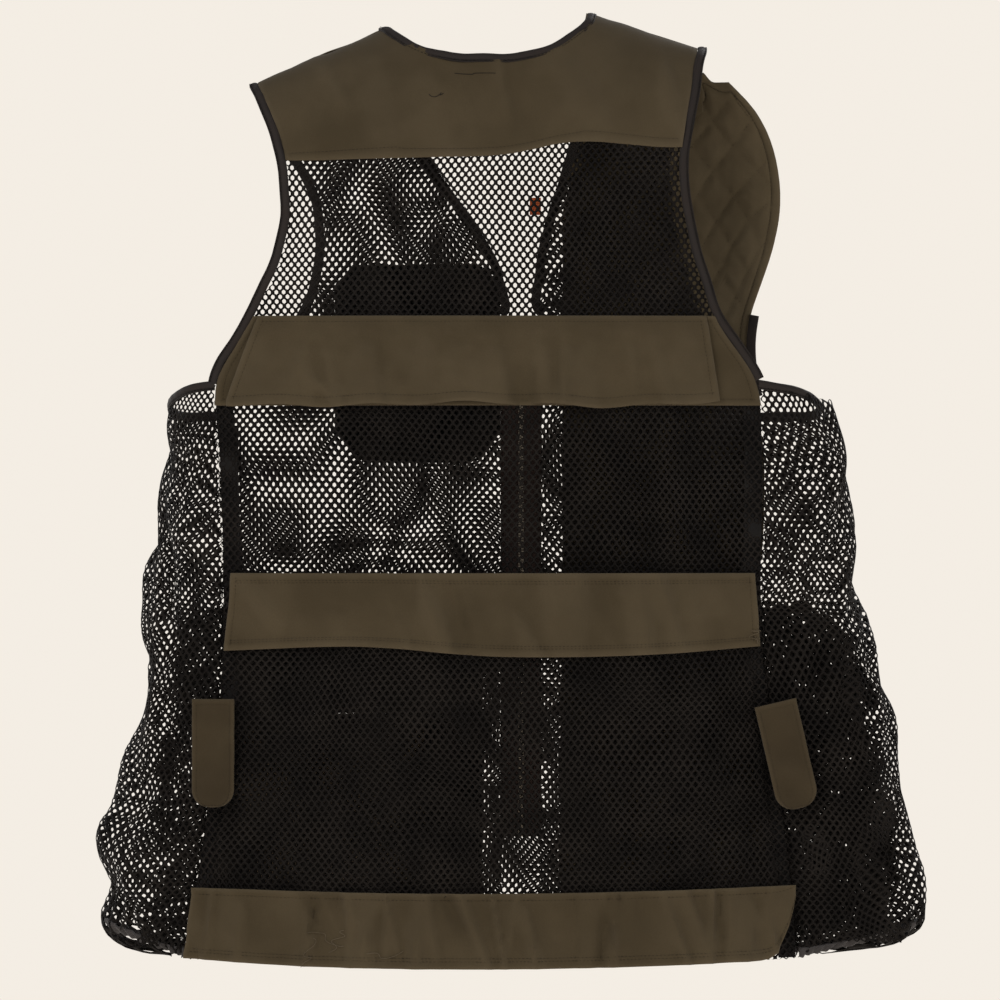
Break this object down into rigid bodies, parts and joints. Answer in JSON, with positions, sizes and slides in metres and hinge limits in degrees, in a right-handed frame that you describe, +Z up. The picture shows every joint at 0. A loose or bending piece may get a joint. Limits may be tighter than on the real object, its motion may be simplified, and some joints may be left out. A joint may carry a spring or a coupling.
{
  "type": "fishing vest",
  "caption": "Sleeveless netting field vest with olive cloth bands, zip front, patch pockets, rear pouch, side tabs and a quilted shoulder pad.",
  "frame": {"origin": "middle of the neck opening, level with the top of the shoulders, where a hanger or a wearer holds the vest", "axes": "+Z up towards the neck, the front faces -Y, the back faces +Y, +X is the wearer's left"},
  "size_m": [0.6543, 0.201, 0.7614],
  "materials": {
    "olive_cotton": "matt cotton poplin",
    "quilted_cotton": "matt diamond quilting",
    "netting": "matt polyester netting",
    "black_cloth": "matt polyester cloth",
    "binding_tape": "ribbed grosgrain tape",
    "zip_tape": "woven tape",
    "zip_teeth": "moulded teeth",
    "zip_metal": "worn nickel",
    "orange_tape": "satin tape"
  },
  "bodies": {
    "root": {"back_yoke": "olive_cotton", "back_upper_net": "netting", "vent_under_band": "olive_cotton", "back_middle_net": "netting", "waist_band": "olive_cotton", "pouch_lining_net": "netting", "pouch_outer_net": "netting", "hem_band": "olive_cotton", "side_net_left": "netting", "side_net_right": "netting", "underarm_binding_left": "binding_tape", "underarm_binding_right": "binding_tape", "side_hem_elastic_left": "binding_tape", "side_hem_elastic_right": "binding_tape", "back_seam_tape_left": "binding_tape", "back_seam_tape_right": "binding_tape", "front_seam_tape_left": "binding_tape", "front_seam_tape_right": "binding_tape", "neck_binding": "binding_tape", "armhole_binding_back_left": "binding_tape", "armhole_binding_back_right": "binding_tape", "armhole_binding_front_left": "binding_tape", "neck_binding_front_left": "binding_tape", "neck_binding_front_right": "binding_tape", "front_shoulder_left": "olive_cotton", "front_shoulder_right": "olive_cotton", "front_net_left": "netting", "front_net_right": "netting", "gun_pad": "quilted_cotton", "gun_pad_piping": "binding_tape", "front_panel_right": "olive_cotton", "pocket_backing_left": "black_cloth", "front_hem_left": "olive_cotton", "front_hem_right": "olive_cotton", "zip_tape_left": "zip_tape", "zip_tape_right": "zip_tape", "zip_teeth_left": "zip_teeth", "zip_teeth_right": "zip_teeth", "zip_retainer_box": "zip_teeth", "chest_pocket": "black_cloth", "lower_pocket_left": "olive_cotton", "pocket_zip_tape_left": "zip_tape", "pocket_zip_teeth_left": "zip_teeth", "lower_pocket_right": "olive_cotton", "pocket_zip_tape_right": "zip_tape", "pocket_zip_teeth_right": "zip_teeth", "tab_under_left": "olive_cotton", "tab_under_right": "olive_cotton", "edge_tag": "orange_tape"},
    "vent_flap": {"vent_flap": "olive_cotton"},
    "tab_left": {"tab_left": "olive_cotton", "tab_hook_patch_left": "black_cloth"},
    "tab_right": {"tab_right": "olive_cotton", "tab_hook_patch_right": "black_cloth"},
    "zip_slider": {"zip_slider": "zip_metal"},
    "zip_pull": {"zip_pull": "zip_metal"},
    "pocket_slider_left": {"pocket_zip_slider_left": "zip_metal"},
    "pocket_pull_left": {"pocket_zip_pull_left": "zip_metal"},
    "pocket_slider_right": {"pocket_zip_slider_right": "zip_metal"},
    "pocket_pull_right": {"pocket_zip_pull_right": "zip_metal"}
  },
  "joints": [
    {"name": "vent_flap_lift", "type": "hinge", "parent": "root", "child": "vent_flap", "pos_m": [0, 0.0773, -0.2378], "axis": [1, 0, 0], "range_deg": [0, 150]},
    {"name": "tab_left_lift", "type": "hinge", "parent": "root", "child": "tab_left", "pos_m": [0.22004, 0.06251, -0.542], "axis": [0.9848, -0.1736, 0], "range_deg": [0, 150]},
    {"name": "tab_right_lift", "type": "hinge", "parent": "root", "child": "tab_right", "pos_m": [-0.22684, 0.06046, -0.545], "axis": [0.9649, 0.1356, -0.225], "range_deg": [0, 150]},
    {"name": "main_zip_travel", "type": "slide", "parent": "root", "child": "zip_slider", "axis": [0, 0, -1], "range_m": [0, 0.384]},
    {"name": "main_pull_swing", "type": "hinge", "parent": "zip_slider", "child": "zip_pull", "pos_m": [-0.025, -0.088, -0.2576], "axis": [-1, 0, 0], "range_deg": [0, 170]},
    {"name": "left_pocket_zip_travel", "type": "slide", "parent": "root", "child": "pocket_slider_left", "axis": [0.9925, 0.1219, 0], "range_m": [0, 0.125]},
    {"name": "left_pocket_pull_swing", "type": "hinge", "parent": "pocket_slider_left", "child": "pocket_pull_left", "pos_m": [0.07049, -0.1081, -0.5565], "axis": [-0.9925, -0.1219, 0], "range_deg": [0, 170]},
    {"name": "right_pocket_zip_travel", "type": "slide", "parent": "root", "child": "pocket_slider_right", "axis": [-0.9925, 0.1219, 0], "range_m": [0, 0.125]},
    {"name": "right_pocket_pull_swing", "type": "hinge", "parent": "pocket_slider_right", "child": "pocket_pull_right", "pos_m": [-0.07849, -0.1091, -0.5565], "axis": [-0.9925, 0.1219, 0], "range_deg": [0, 170]}
  ]
}
